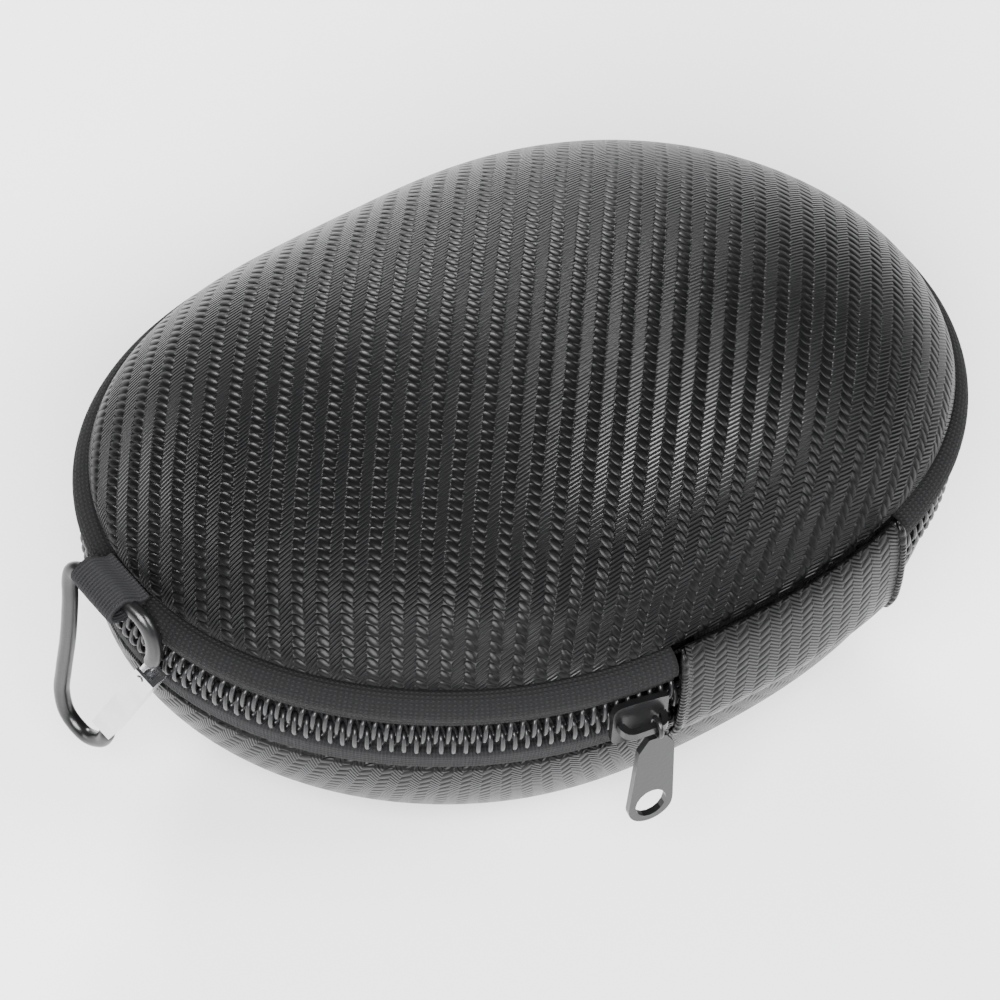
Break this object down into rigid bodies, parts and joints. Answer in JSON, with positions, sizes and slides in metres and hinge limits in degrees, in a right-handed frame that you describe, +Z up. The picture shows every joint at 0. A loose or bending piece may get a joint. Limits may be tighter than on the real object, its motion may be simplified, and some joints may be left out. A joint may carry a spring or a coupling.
{
  "type": "headphone carrying case",
  "caption": "Oval hard-shell zip case with two domed halves, woven rim tape, coil zip with hanging puller, flexible spine and a snap hook on a webbing loop.",
  "frame": {"origin": "centre of the bounding box in plan, at the level of the flat foot the case stands on", "axes": "+X along the length away from the snap hook, +Y from the spine to the opening side, +Z up through the lid"},
  "size_m": [0.181, 0.1304, 0.098],
  "materials": {
    "leatherette": "black leatherette pressed with a woven carbon pattern, satin",
    "foam": "moulded EVA foam, matte",
    "lining": "brushed jersey, matte",
    "tape": "woven polyester tape, matte",
    "coil": "nylon coil, semi-matte",
    "webbing": "ribbed webbing, matte",
    "net": "knitted net",
    "elastic": "woven elastic, matte",
    "black_metal": "black lacquer, semi-gloss",
    "bright_metal": "nickel plated"
  },
  "bodies": {
    "base": {"lower_shell_skin": "leatherette", "lower_shell_foam": "foam", "lower_shell_lining": "lining", "lower_binding": "tape", "lower_zip_tape": "tape", "lower_coil": "coil", "hinge_tape": "tape", "spine_cover": "leatherette", "spine_edge_left": "leatherette", "spine_edge_right": "leatherette"},
    "lid": {"upper_shell_skin": "leatherette", "upper_shell_foam": "foam", "upper_shell_lining": "lining", "upper_binding": "tape", "upper_zip_tape": "tape", "upper_coil": "coil", "webbing_loop": "webbing", "pocket_net": "net", "pocket_elastic": "elastic"},
    "slider": {"slider_body": "black_metal", "slider_bridge": "black_metal"},
    "puller": {"puller_ring": "black_metal", "puller_tab": "black_metal"},
    "carabiner": {"carabiner_body": "black_metal", "gate_pin": "bright_metal"},
    "gate": {"carabiner_gate": "bright_metal", "gate_spring": "bright_metal"}
  },
  "joints": [
    {"name": "lid_hinge", "type": "hinge", "parent": "base", "child": "lid", "pos_m": [0, -0.0633, 0.0555], "axis": [1, 0, 0], "range_deg": [0, 100], "deforming": ["spine_cover", "hinge_tape", "spine_edge_left", "spine_edge_right"]},
    {"name": "slider_travel", "type": "hinge", "parent": "base", "child": "slider", "pos_m": [0.00613, 0.03738, 0.0555], "axis": [0, 0, 1], "range_deg": [-14, 0]},
    {"name": "puller_swing", "type": "hinge", "parent": "slider", "child": "puller", "pos_m": [-0.01494, -0.06275, 0.0555], "axis": [-0.9739, 0.2269, 0], "range_deg": [-8, 75]},
    {"name": "carabiner_swing", "type": "hinge", "parent": "lid", "child": "carabiner", "pos_m": [-0.08632, 0.01483, 0.0713], "axis": [-0.1728, 0.9849, 0], "range_deg": [-3, 100]},
    {"name": "gate_hinge", "type": "hinge", "parent": "carabiner", "child": "gate", "pos_m": [-0.08444, 0.0041, 0.0555], "axis": [0.9849, 0.1728, 0], "range_deg": [0, 15], "stiffness_Nm_per_rad": 0.003, "springref_deg": -17.19}
  ]
}
